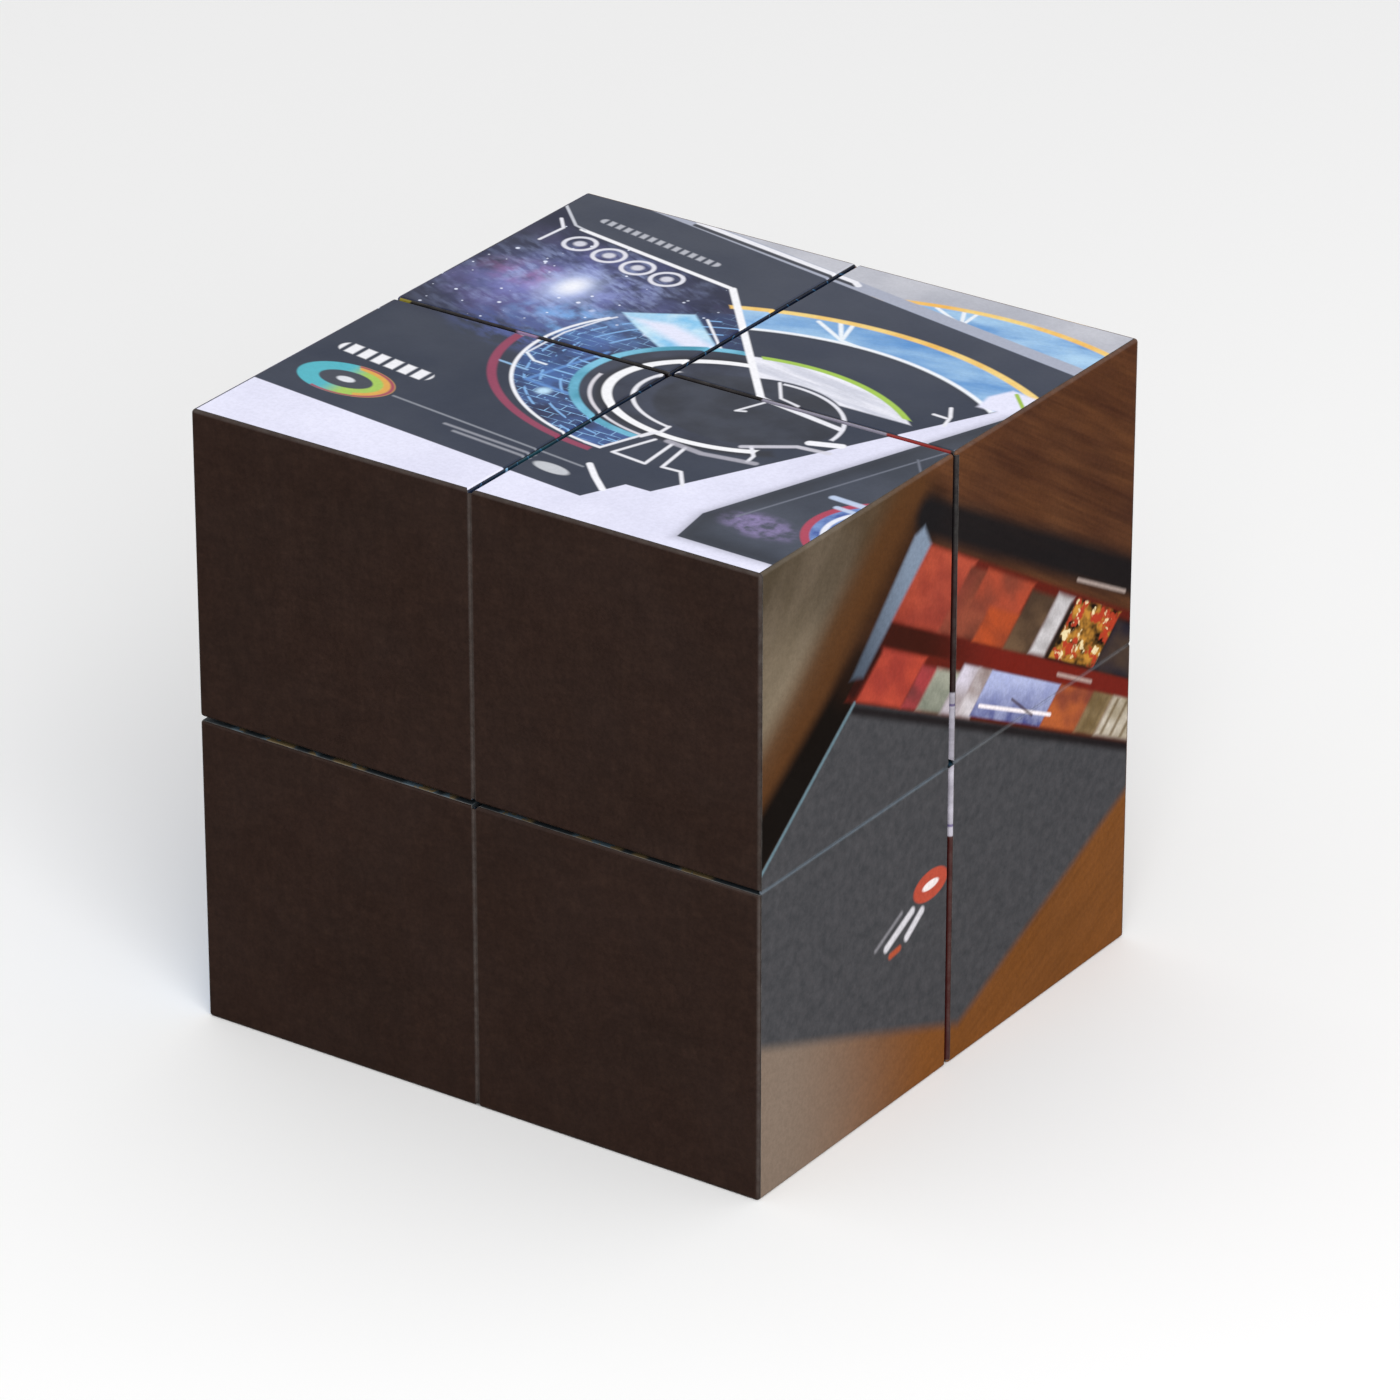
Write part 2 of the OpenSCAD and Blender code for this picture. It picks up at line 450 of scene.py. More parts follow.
def near_sky(p):
    """Arc of sky with a gold rim, over the dark panel."""
    sky_top, sky_low = p.disc((13, -21.5), 43), p.disc((13, -17.4), 34)
    over_beam = p.both(p.side((-8.2, 23.5), (11, 0.2)), p.side((15, -25), (34.6, 14.5)))
    arc = p.both(sky_top, p.outside(sky_low), over_beam)
    p.ink("#2f323c", p.both(p.ring(sky_low, 1.2), over_beam), 1.2, 0.6)
    p.ink(sky(p, 6, 14), arc, 0.25)
    p.ink("#f2f6fd", p.both(p.ring(sky_low, 0.55), over_beam), 0.4)
    fan = p.either(
        p.stroke(0.5, (9.9, 17), (5.2, 19.8)),
        p.stroke(0.5, (9.9, 17), (7.3, 20.8)),
        p.stroke(0.5, (9.9, 17), (8.7, 21)),
        p.stroke(0.5, (9.9, 17), (12, 16.6)),
    )
    p.ink("#eef5fc", fan, 0.35)
    p.ink(
        p.mix("#f0b64e", "#f7dd8f", p.cloud(8, 15)),
        p.both(
            p.ring(p.disc((13, -21.5), 43), 0.9),
            p.side((-4.4, 17.5), (11, 0.2)),
            p.side((15, -25), (33.8, 14)),
        ),
        0.35,
    )
    p.ink("#e7e7fb", p.patch((30.2, 13.6), (30.6, 10.8), (36, 10.8), (36, 15.5), (31.5, 16.2)), 0.7)
    p.ink("#9fc04a", p.stroke(0.45, (32.3, 15.6), (35.5, 12.2)), 0.3)


def pale_lens(p):
    """Brushed pale lens with a lime rim."""
    lens_top = p.disc((11.5, -14.1), 23.5)
    lens = p.both(lens_top, p.outside(p.oval((12.5, -4.9), 10.8, 9.9)), p.outside(beam(p)), p.over(3.1))
    p.ink(p.mix("#cfd1df", "#f2f2fc", p.cloud(1.3, 16, stretch=8, tilt=-10)), lens, 0.4)
    p.ink("#a4c84e", p.both(p.ring(lens_top, 0.7), p.side((-5.4, 22), (12.8, 0)), p.over(4)), 0.3)


def beam_and_lines(p):
    """The white beam that frames the star cloud, and the fine lines of the drawing."""
    p.ink(
        "#f8f8fd",
        p.either(p.stroke(0.62, (-29.3, 26), (-7, 21.8)), p.stroke(0.8, (-7, 21.8), (11.2, 0.2))),
        0.3,
    )
    p.ink("#eeeef6", p.stroke(0.75, (11.2, 0.2), (22.3, -1.8)), 0.3)
    p.ink("#c9ccd6", p.stroke(0.35, (-35.5, 31.4), (-30.6, 26.6), (-29, 26.1)), 0.25)
    p.ink("#e9e9f2", p.stroke(0.4, (-33, 27.3), (-31.3, 25.3), (-31.6, 21.3)), 0.25)
    fine = p.either(
        p.stroke(0.35, (10.7, 4.4), (13, 1.2), (15.5, 0.6)),
        p.stroke(0.35, (12.2, -0.6), (10.9, -3.9), (11.8, -3.5)),
        p.stroke(0.42, (28.6, 9), (29.8, 7), (30.4, 4.9)),
        p.stroke(0.42, (28, 6.7), (29.6, 6.6)),
        p.stroke(0.42, (6.9, -13.2), (4.7, -19.1), (2.8, -18.9)),
        p.stroke(0.42, (8.2, -14.4), (6.4, -19.3), (10.7, -19.8), (10.3, -14.4)),
        p.stroke(0.42, (11.9, -14.4), (12.6, -19.5), (14.8, -19.4), (16.8, -22)),
        p.stroke(0.42, (7.6, -11), (7.6, -12.4), (6.6, -14.6)),
        p.stroke(0.42, (17.2, -10.4), (18.7, -12.2), (18.9, -13.6)),
    )
    p.ink("#ebebf3", fine, 0.3)
    p.ink("#e6e6f0", p.both(p.ring(p.oval((12.5, -4.5), 10.5, 8.9), 0.45), p.east(11.2), p.over(-4.6)), 0.3)
    p.ink("#b9b7c4", p.stroke(0.8, (9.5, -14), (14, -14.6), (19.8, -13.6)), 0.4, 0.75)
    p.ink("#d8d6e2", p.stroke(0.7, (16.4, -10.9), (21, -7.8), (24.6, -7.4)), 0.35, 0.8)
    p.ink("#f4f4fb", p.stroke(1.1, (21.6, -6.3), (24.6, -5.2)), 0.3)
    p.ink("#f4f4fb", p.stroke(0.7, (6.2, -23), (8.4, -25.2), (10.8, -27.3)), 0.3)
    p.ink("#8a8e99", p.stroke(0.3, (-20, -20.6), (6, -23.9)), 0.3)


def badges(p):
    """Four plain round badges, a plain gauge and blank label bars."""
    for across, up in ((-27.3, 22.7), (-22.9, 21.8), (-18.5, 20.8), (-14.2, 20)):
        p.ink("#e3e3ee", p.ring(p.disc((across, up), 1.75), 0.5), 0.3)
        p.ink("#d5d5e2", p.disc((across, up), 0.7), 0.5)
    badge = p.oval((-26.5, -20), 5.9, 3.5, -4)
    p.ink(p.mix("#4fb4c4", "#a5c95a", p.fade(p.across, -28, -25)), badge, 0.3)
    p.ink("#e0a84e", p.both(p.ring(badge, 2.2), badge, p.side((-27.4, -16), (-23, -24))), 0.35)
    p.ink("#a4455c", p.both(p.ring(badge, 0.8), badge, p.side((-27, -16), (-29, -24))), 0.35)
    p.ink("#3d424f", p.oval((-26.5, -20), 3.3, 1.8, -4), 0.3)
    p.ink("#dfe2ea", p.oval((-26.5, -20), 1.1, 0.6, -4), 0.4)
    p.ink("#f2f2f8", p.both(p.stroke(2.1, (-31.2, -13.2), (-20.4, -14.8)), p.bars(1.9, 0.68)), 0.35)
    p.ink("#c3c5cf", p.both(p.stroke(1.1, (-28.6, 29.3), (-12.2, 26.2)), p.bars(1.2, 0.6)), 0.35, 0.85)
    p.ink(
        "#a9abb6",
        p.either(p.stroke(0.4, (-11.6, -23.2), (0.4, -24.4)), p.stroke(0.4, (-9.8, -24.2), (0.4, -25.3))),
        0.4,
        0.7,
    )
    p.ink("#d6d9e0", p.oval((3.6, -26), 2.3, 0.9, -8), 0.5, 0.8)


def side_panel(p):
    """Dark panel at the right, with the edge of another gauge."""
    panel = p.both(
        p.side((22, -32.1), (36, -32.4)),
        p.side((34.2, 8.5), (22.2, -26.3)),
        p.side((22.2, -26.3), (23.1, -31.9)),
    )
    p.ink(p.mix("#353b48", "#434958", p.cloud(10, 17)), panel)
    p.ink("#8a7cab", p.both(p.oval((28.4, -25.6), 4.2, 2.2, -8), panel), 3.0, p.cloud(1.4, 18))
    p.ink("#262a34", p.both(p.ring(panel, 3.4), panel), 3, 0.7)
    p.ink(
        "#767b8a",
        p.either(p.stroke(0.25, (25.4, -25), (35.5, 3)), p.stroke(0.25, (32.8, -3.6), (35.5, -7))),
        0.3,
        0.8,
    )
    gauge = p.oval((40, -21), 7.8, 7.4)
    p.ink(p.mix("#3f5cae", "#7fa0dc", p.cloud(2, 19)), p.both(gauge, panel), 0.4, 0.8)
    p.ink("#ad3f58", p.both(p.ring(gauge, 0.9), panel), 0.3)
    p.ink("#e9ecf8", p.both(p.ring(p.oval((40, -21), 6.0, 5.6), 0.6), panel), 0.3)
    p.ink(
        "#c3d3f0",
        p.either(p.stroke(0.9, (30.8, -15.9), (35.5, -16.2)), p.stroke(0.7, (32.4, -17.7), (35.5, -17.9))),
        0.4,
        0.9,
    )


def top_picture(p):
    """Night-sky poster: a dark panel with a star cloud, round gauges and arcs of sky, in pale frames."""
    for part in (
        poster_ground, far_sky, star_cloud, circuit_print, dial_rings,
        near_sky, pale_lens, beam_and_lines, badges, side_panel,
    ):
        part(p)


def wood(p, dark, light, tilt, seed, grain=1.5):
    """Planks out of focus: grain drawn out along the tilt over broad bands of lighter and darker wood."""
    fine = p.cloud(grain, seed, stretch=12, tilt=tilt, detail=2, contrast=0.45)
    broad = p.cloud(7, seed + 1, stretch=3, tilt=tilt, detail=2, contrast=0.25)
    return p.mix(dark, light, p.put("Math", (fine, 0.55, p.product(broad, 0.4)), operation="MULTIPLY_ADD"))


# The rows of the folder on the right face: where they start, which way they run, and which way
# their pictures lean
ROW_START = Vector((-12, 19.5))
ROW_RUN = Vector((0.883, -0.47))
ROW_LEAN = Vector((0.78, 0.62))
ROW_NARROWS = 0.004          # share of its height that a row loses in each millimetre of its run


def tile(p, run_from, run_to, low, high):
    """A leaning tile of a row, in millimetres along the row and across it. It narrows towards its far end."""
    corners = ((run_from, low), (run_to, low), (run_to, high), (run_from, high))
    return p.patch(*[
        tuple(ROW_START + run * ROW_RUN + lean * (1 - ROW_NARROWS * run) * ROW_LEAN)
        for run, lean in corners
    ])


def table_top(p):
    """Wooden table, brown at the right and taupe at the left, with the folder's dark shadow on it."""
    p.colour = wood(p, "#40241a", "#6f4527", -32, 20)
    p.wash("#2e1a12", p.product(p.cloud(0.45, 21, stretch=22, tilt=-32, contrast=0.15), 0.25))
    taupe = p.mix(
        p.mix("#4c4132", "#66594a", p.cloud(7, 22, stretch=2, tilt=50, detail=4)),
        "#4d3620",
        p.fade(p.across, -24, -8, 0, 0.85),
    )
    taupe = p.mix(taupe, "#81735f", p.fade(p.oval((-31, 18), 9, 9), 6, -8, 0, 0.75))
    p.ink(taupe, p.side((-36, 11.5), (-7, 35.5)), 4.5)
    p.ink("#55351a", p.stroke(7.5, (-38, 8.5), (-8, 32.5)), 4.5, 0.85)
    p.ink("#17120f", p.stroke(6.2, (-38, 3.2), (-17, 17.2)), 2.6)
    p.ink("#2a1a12", p.stroke(5, (-19, 17.5), (-4, 30.5)), 4, 0.7)
    p.ink("#1b1a1c", p.stroke(4.4, (-5, 30), (37, 6.6)), 2.2, 0.96)


def slate_folder(p):
    """Slate folder with a fine paper tooth, and the table below it."""
    slate = p.mix("#3c3d40", "#4e4d50", p.cloud(1.2, 24, detail=6, contrast=0.4))
    p.ink(slate, p.both(p.side((-17.6, 15.1), (-36, 1.3)), p.side((37, -13), (-18, 14.4))), 0.5)
    low_wood = p.mix("#7f6e60", wood(p, "#6a3f1a", "#845024", 24, 26, 0.6), p.fade(p.across, -32, -2))
    table = p.either(p.side((2, -31), (-36, -17.1)), p.side((37, -16.2), (2, -31)))
    p.ink(low_wood, table, 1.8)


def tile_rows(p):
    """Rows of blurred tiles on dark red strips."""
    p.ink("#5e1d13", tile(p, -1.6, 62, -8.1, 10.8), 0.8)
    tiles = (
        (-1.6, 9.5, 1.6, 10.6, "#b04a33", "#8c3527"), (9, 17, 1.6, 9.8, "#5d3024", "#8c4531"),
        (12.5, 23, 5, 10.2, "#a8452c", "#7f3c2c"), (16.5, 23.2, 1.4, 6, "#b34a20", "#8f3d22"),
        (23.2, 28.8, 1.4, 9.4, "#4a382b", "#6b523c"), (28.8, 32.2, 1.8, 10, "#cbc7c9", "#8b8585"),
        (32.2, 62, 1.4, 9.4, "#1d1714", "#3a2a20"), (43.4, 62, 1.6, 9, "#20202e", "#4a3a30"),
        (0.4, 9.4, -7.9, -1.6, "#b2432f", "#96352a"), (9.4, 13.5, -7.9, -2.6, "#a03a3c", "#6d3534"),
        (12.5, 17.6, -7.9, -2.6, "#9c9d8e", "#6f7466"), (17.4, 20.8, -7.9, -1.4, "#cdc6d4", "#9b8f90"),
        (20.6, 23.6, -7.9, -1.4, "#6e5244", "#c9c2c6"), (38.4, 46.2, -7.6, -1.2, "#b05a2c", "#7c3b2c"),
        (46, 50.5, -7.6, -1.2, "#9a8462", "#6a5636"), (50.5, 62, -7.6, -1.2, "#cfc6b8", "#9c8f78"),
    )
    soft = p.cloud(3.6, 28, stretch=1.6, tilt=-35, detail=1.5, contrast=0.2)
    for run_from, run_to, low, high, main, other in tiles:
        p.ink(p.mix(main, other, soft), tile(p, run_from, run_to, low, high), 0.9)
    p.ink("#8d3a30", tile(p, 3, 11, 2, 9), 4, 0.35)


def patchwork_tile(p):
    """Tile with an abstract patchwork of warm colours."""
    patchwork = p.mix(
        "#20150f", "#c08530", p.cloud(1.7, 29, stretch=1.4, tilt=-30, detail=2, contrast=0.16)
    )
    patchwork = p.mix(patchwork, "#b0391f", p.fade(p.cloud(2.1, 44, tilt=20, detail=2), 0.5, 0.85))
    patchwork = p.mix(patchwork, "#e6d3a4", p.fade(p.cloud(1.5, 45, tilt=-50, detail=2), 0.75, 1.0))
    p.ink(patchwork, tile(p, 33.2, 43.2, 1.8, 10.2), 0.5)


def blue_tile(p):
    """Blue tile with a pale diagonal, and the strip between the rows."""
    blue = p.mix("#a3abd4", "#343876", p.fade(p.side((5, 5.5), (22, -1)), -3, 3.2))
    blue = p.mix(blue, "#c5cbe8", p.product(p.cloud(3, 30), 0.4))
    p.ink(blue, tile(p, 23.4, 38.4, -7.6, -1.4), 0.5)
    p.ink("#efe6ea", p.stroke(0.4, (5.2, 4.6), (19, -2)), 0.35)
    p.ink("#3b1d1c", p.stroke(0.35, (11.5, 2.8), (15.4, -0.6)), 0.3, 0.7)
    for step in (47.2, 49, 51.5, 53.6, 55.8):
        p.ink("#6d5a3c", tile(p, step, step + 0.6, -7.4, -1.6), 0.5, 0.8)
    p.ink(p.mix("#3c170f", "#701d13", p.fade(p.across, -6, 10)), tile(p, -1, 62, -1.3, 1.3), 0.6)
    p.ink(
        "#c9b6ae",
        p.either(p.stroke(0.4, (24, 11.6), (33.4, 6.6)), p.stroke(0.4, (20.4, 2.1), (27, -1.4))),
        0.5,
        0.6,
    )


def folder_edges(p):
    """The folder's dark near edge, and the blue-grey edge of its cover."""
    p.ink("#1d1718", p.stroke(1.1, (-18.2, 13.6), (37, -13.2)), 1.0, 0.9)
    cover = p.patch((-18.8, 17.2), (-16.6, 16.6), (-4.4, 26.6), (-5.6, 29), (-7.4, 28.6))
    p.ink("#1c1210", p.stroke(1.6, (-18.4, 15.6), (-14, 18.4)), 1.2, 0.8)
    p.ink(p.mix("#46505e", "#79879a", p.fade(p.across, -19, -6)), cover, 0.9)
    p.ink("#617983", p.stroke(0.45, (-36, 1.0), (-18.2, 14.3)), 0.4)


def folder_badge(p):
    """Plain round badge and blank bars."""
    p.ink("#b44a36", p.oval((-3.6, -12.3), 3.2, 1.7), 0.4)
    p.ink("#e8dedc", p.oval((-3.6, -12.3), 1.5, 0.5), 0.4)
    p.ink(
        "#d9d6dc",
        p.either(p.stroke(0.9, (-5.2, -14.6), (-8, -16.5)), p.stroke(0.9, (-7, -13.9), (-11.8, -16.2))),
        0.5,
        0.9,
    )
    p.ink("#b7502f", p.stroke(0.7, (-9.4, -17.2), (-11, -17.4)), 0.5, 0.9)
    p.ink("#8c8a90", p.stroke(0.45, (-9, -13.3), (-13.8, -15.6)), 0.5, 0.8)


def crease_highlight(p):
    """Painted highlight along the level hinge crease across the folder: a thin pale blue line, stronger at
    the left.
    """
    p.ink("#4d5c69", p.stroke(0.4, (-36, 0), (36, 0)), 0.3, p.fade(p.across, 8, -6, 0.2, 0.7))


def right_picture(p):
    """Still life out of focus: a slate folder with rows of coloured tiles on a wooden table, and a painted
    highlight along the face's level crease.
    """
    for part in (
        table_top, slate_folder, tile_rows, patchwork_tile, blue_tile,
        folder_edges, folder_badge, crease_highlight,
    ):
        part(p)


def front_picture(p):
    """Plain espresso brown, mottled as fine as the paper's own grain."""
    p.colour = p.mix("#281b16", "#2d1f1a", p.cloud(18, 40, contrast=0.3))
    weave = p.product(
        p.cloud(0.9, 41, stretch=3, tilt=4, contrast=0.3),
        p.cloud(0.9, 42, stretch=3, tilt=94, contrast=0.3),
    )
    p.wash("#392820", p.product(weave, 0.55))
    p.wash("#211612", p.product(p.cloud(2.2, 43, detail=5), 0.25))


def back_picture(p):
    """Table top with a slate runner and a row of cups of light, out of focus."""
    p.colour = wood(p, "#3c2212", "#7a4a22", 18, 50)
    runner = p.patch((-36, -14), (36, 4), (36, 24), (-36, 6))
    p.ink("#120d0b", p.both(p.side((36, 2.4), (-36, -15.6)), p.side((-36, -12), (36, 6))), 2.6, 0.8)
    p.ink(p.mix("#2b2d31", "#3c3c41", p.cloud(3, 52, detail=6)), runner, 1.2)
    p.ink("#7a1f15", p.stroke(2.2, (-36, 0.5), (36, 18.5)), 0.7)
    p.ink("#9b3a22", p.stroke(0.5, (-36, 2.4), (36, 20.4)), 0.5)
    lights = (
        (-24, -25, 4.6), (-9, -21, 3.4), (6, -27, 5.2), (22, -18, 3.8),
        (-28, 27, 4.2), (-12, 30, 3), (27, 31, 4.4),
    )
    for across, up, radius in lights:
        glow = p.disc((across, up), radius)
        p.ink("#e0a04a", glow, 1.0, p.fade(p.disc((across, up), radius), -radius, 0, 0.3, 0.6))
        p.ink("#fbe3ae", p.both(p.ring(glow, 0.9), glow), 0.5, 0.5)


def left_picture(p):
    """Night sky over a blue horizon, with two thin rings."""
    p.colour = p.mix("#171b33", "#3b3f6e", p.cloud(12, 60, stretch=1.5, tilt=20, detail=6))
    mist = p.product(p.cloud(5, 61, detail=6), p.fade(p.disc((8, 12), 14), 10, -12))
    p.wash("#7c6cae", p.product(mist, 0.8))
    everywhere = p.disc((0, 0), CUBE_W)
    for gap, radius, share, seed in ((1.4, 0.22, 0.5, 5), (4.4, 0.6, 0.4, 6)):
        p.ink("#e6ecff", everywhere, 0.2, p.specks(gap, radius, share, seed))
    horizon = p.disc((-4, -78), 62)
    p.ink("#9fd0ff", p.disc((-4, -78), 63), 5, 0.6)
    p.ink(p.mix(sky(p, 6, 62), "#174f8f", p.fade(horizon, -2, -22)), horizon, 1.0)
    p.ink("#eef4ff", p.ring(horizon, 0.6), 0.8)
    p.ink("#f2f3fa", p.ring(p.oval((10, 10), 15, 11, 20), 0.45), 0.3)
    p.ink("#923f5c", p.ring(p.oval((10, 10), 18, 13.5, 20), 0.9), 0.35)


def bottom_picture(p):
    """Espresso ground with one lilac band."""
    front_picture(p)
    p.ink(p.mix("#d2d2e8", "#e2e2f4", p.cloud(14, 70)), p.stroke(9, (-40, -30), (40, 12)), 0.3)
    p.ink("#454b58", p.stroke(1.2, (-40, -22), (40, 20)), 0.3)


def inside_x_picture(p):
    """Dark chart with fine blue contour lines."""
    p.colour = p.mix("#0f1420", "#1a2740", p.cloud(12, 80))
    height = p.cloud(17, 81, detail=1.5, contrast=0.5)
    bands = p.put("Math", (height, 0.035), operation="PINGPONG")
    steps = p.put("Math", (height, 0.175), operation="PINGPONG")
    p.wash("#3c6f9c", p.fade(bands, 0.004, 0.001, 0, 0.8))
    p.wash("#8fc0e6", p.fade(steps, 0.006, 0.002))
    p.wash("#2d6f7c", p.product(p.fade(height, 0.6, 0.95), 0.45))
    for across, up in ((-18, 9), (11, -14), (22, 21)):
        p.ink("#e8b452", p.disc((across, up), 0.8), 0.4)
        p.ink("#e8b452", p.ring(p.disc((across, up), 1.9), 0.3), 0.3)


def inside_y_picture(p):
    """Evening lights out of focus over dark ground, a lilac band across the middle, dark red below it."""
    p.colour = p.mix("#0a080b", "#171014", p.cloud(9, 90))
    p.ink("#260a09", p.patch((8, 8), (36, 8), (36, 24), (8, 15)), 4)
    for gap, radius, share, seed, colour in (
        (9, 3.6, 0.75, 11, "#7c2a1c"), (7, 2.4, 0.6, 12, "#b8682c"), (6, 1.5, 0.5, 13, "#c9a8d8"),
    ):
        p.ink(colour, p.over(9.5), 1.0, p.product(p.specks(gap, radius, share, seed), 0.5))
    p.ink("#8f8b9c", p.patch((11, 34.2), (27, 34.2), (26, 36), (12, 36)), 0.3)
    p.ink("#8a2421", p.patch((26.5, 34.2), (34.2, 34.2), (34.2, 36), (26.5, 36)), 0.3)
    p.ink("#85791f", p.patch((-36, 34.2), (-33.5, 34.2), (-32.5, 36), (-36, 36)), 0.3)
    paper = p.mix("#9d99a4", "#bab6c2", p.cloud(1.2, 91, stretch=10, tilt=2))
    p.ink(paper, p.patch((-36, -8.5), (36, -8.5), (36, 8), (-36, 8)), 0.3)
    for up, width in ((6.6, 0.3), (-7.2, 0.3)):
        p.ink("#6a5f86", p.stroke(width, (-36, up), (36, up)), 0.2)
    p.ink(p.mix("#360a07", "#511410", p.cloud(8, 92, detail=6)), p.under(-8.5), 0.3)
    for step in range(9):
        p.ink("#7d2a20", p.stroke(0.5, (-40 + 9 * step, -36), (-22 + 9 * step, -8.8)), 0.4, 0.7)
    p.ink("#3a0b08", p.under(-8.5), 0.3, p.fade(p.across, 30, 34.5))


def inside_z_picture(p):
    """Streets at night from above: deep teal blocks with warm windows in rows."""
    row_h = 5.0
    window_w = 1.6
    p.colour = p.mix("#101c25", "#20394a", p.cloud(6, 100))
    blocks = p.put(
        "TexBrick",
        {"Vector": p.at, "Color1": "#13242f", "Color2": "#2c4c5e", "Mortar": "#0b141b", "Scale": 1.0,
         "Mortar Size": 0.35, "Mortar Smooth": 0.2, "Brick Width": 8.75, "Row Height": row_h},
    )
    p.wash(blocks, 0.7)
    rows = p.put("Math", (p.up, row_h / 2), operation="PINGPONG")
    window = p.put("Math", (p.across, window_w / 2), operation="PINGPONG")
    place = p.put("VectorMath", (p.at, (1 / window_w, 1 / row_h, 1)), operation="MULTIPLY")
    place = p.put("VectorMath", (place,), operation="FLOOR")
    lit = p.put("TexWhiteNoise", {"Vector": place})
    pane = p.both(
        p.put("Math", (rows, 0.9), operation="SUBTRACT"), p.put("Math", (window, 0.5), operation="SUBTRACT")
    )
    p.ink(p.mix("#5d4a2c", "#d9a445", lit), pane, 0.25, p.fade(lit, 0.45, 0.6))
    edge = p.put(
        "Math", (CUBE_W / 2 - 1.2, p.put("Math", (p.up,), operation="ABSOLUTE")), operation="SUBTRACT"
    )
    p.ink("#262c30", edge, 0.3)
    flecks = p.mix("#6a5a3c", "#4c5d68", p.fade(p.cloud(3, 101), 0.45, 0.55))
    for start, end in (
        (-31, -29.6), (-27, -23), (-21, -20), (-18, -14), (-9, -5),
        (-4, -2.6), (3, 7), (12, 18), (19.4, 21), (25, 29),
    ):
        block = p.both(p.east(start), p.west(end), edge)
        p.ink(flecks, block, 0.8, 0.8)


def film(name, picture, across, up, grain=0.015):
    """Printed polypropylene film under a satin laminate: even sheen over a faint waviness, and folds
    that have begun to whiten. Grain is how far the print's dots are lighter or darker."""
    material = bpy.data.materials.new(name)
    material.use_nodes = True
    tree = material.node_tree
    shader = tree.nodes["Principled BSDF"]
    p = Picture(tree, across, up)
    picture(p)

    # print grain, in both lighter and darker dots about 0.4 mm across, drawn coarser than real dots
    dots = p.put("TexNoise", {"Vector": p.place, "Scale": 1 / 0.42, "Detail": 2.0, "Roughness": 0.7})
    dots = p.fade(dots, 0.25, 0.75, 1 - grain * 3, 1 + grain * 3)
    p.colour = p.mix(p.colour, dots, 1.0, blend_type="MULTIPLY")

    # distance from the nearest fold or cut of this panel, in millimetres
    nearest = []
    for value in (p.across, p.up):
        reach = p.put("Math", (value,), operation="ABSOLUTE")
        nearest.append(reach)
        nearest.append(p.put("Math", (CUBE_W / 2, reach), operation="SUBTRACT"))
    nearest = p.either(*nearest)
    rub = p.put("TexNoise", {"Vector": p.place, "Scale": 0.6, "Detail": 5.0, "Roughness": 0.7})
    rub = p.fade(rub, 0.35, 0.7, 0.45, 1.0)
    worn = p.product(p.fade(nearest, 0.4, 0.1), rub)
    p.wash("#a8a49f", p.product(worn, 0.1))
    tree.links.new(p.colour, shader.inputs["Base Color"])

    # sheen: smoother where the laminate has pulled tight, duller where it is rubbed
    sheen = p.put("TexNoise", {"Vector": p.place, "Scale": 1 / 9, "Detail": 3.0})
    rough = p.fade(sheen, 0.3, 0.7, 0.34, 0.46)
    rough = p.put("Math", (worn, 0.2, rough), operation="MULTIPLY_ADD")
    tree.links.new(rough, shader.inputs["Roughness"])
    shader.inputs["IOR"].default_value = 1.49
    shader.inputs["Specular IOR Level"].default_value = 0.15

    # waves 12 mm long from the glue under the film, and the laminate's own fine tooth
    wave = p.put("TexNoise", {"Vector": p.place, "Scale": 1 / 12, "Detail": 1.0})
    tooth = p.put("TexNoise", {"Vector": p.place, "Scale": 1 / 0.5, "Detail": 2.0})
    bump = p.put("Bump", {"Strength": 0.6, "Distance": 0.12 * MM, "Height": wave})
    bump = p.put("Bump", {"Strength": 0.35, "Distance": 0.006 * MM, "Height": tooth, "Normal": bump})
    tree.links.new(bump, shader.inputs["Normal"])
    return material


def moulded_shell():
    """Moulded high-impact polystyrene: white, with the mould's fine spark-worn tooth. It shows only in the
    seams of the film."""
    material = bpy.data.materials.new("polystyrene_moulded_white")
    material.use_nodes = True
    tree = material.node_tree
    shader = tree.nodes["Principled BSDF"]
    shader.inputs["Base Color"].default_value = linear("#d8d6d1")
    shader.inputs["IOR"].default_value = 1.59
    place = put(tree, "TexCoord", (), out=3)
    flow = put(tree, "TexNoise", {"Vector": place, "Scale": 1 / (8 * MM), "Detail": 2.0})
    tree.links.new(put(tree, "MapRange", (flow, 0.3, 0.7, 0.42, 0.58)), shader.inputs["Roughness"])
    tooth = put(tree, "TexNoise", {"Vector": place, "Scale": 1 / (0.4 * MM), "Detail": 3.0})
    bump = put(tree, "Bump", {"Strength": 0.4, "Distance": 0.01 * MM, "Height": tooth})
    tree.links.new(bump, shader.inputs["Normal"])
    return material


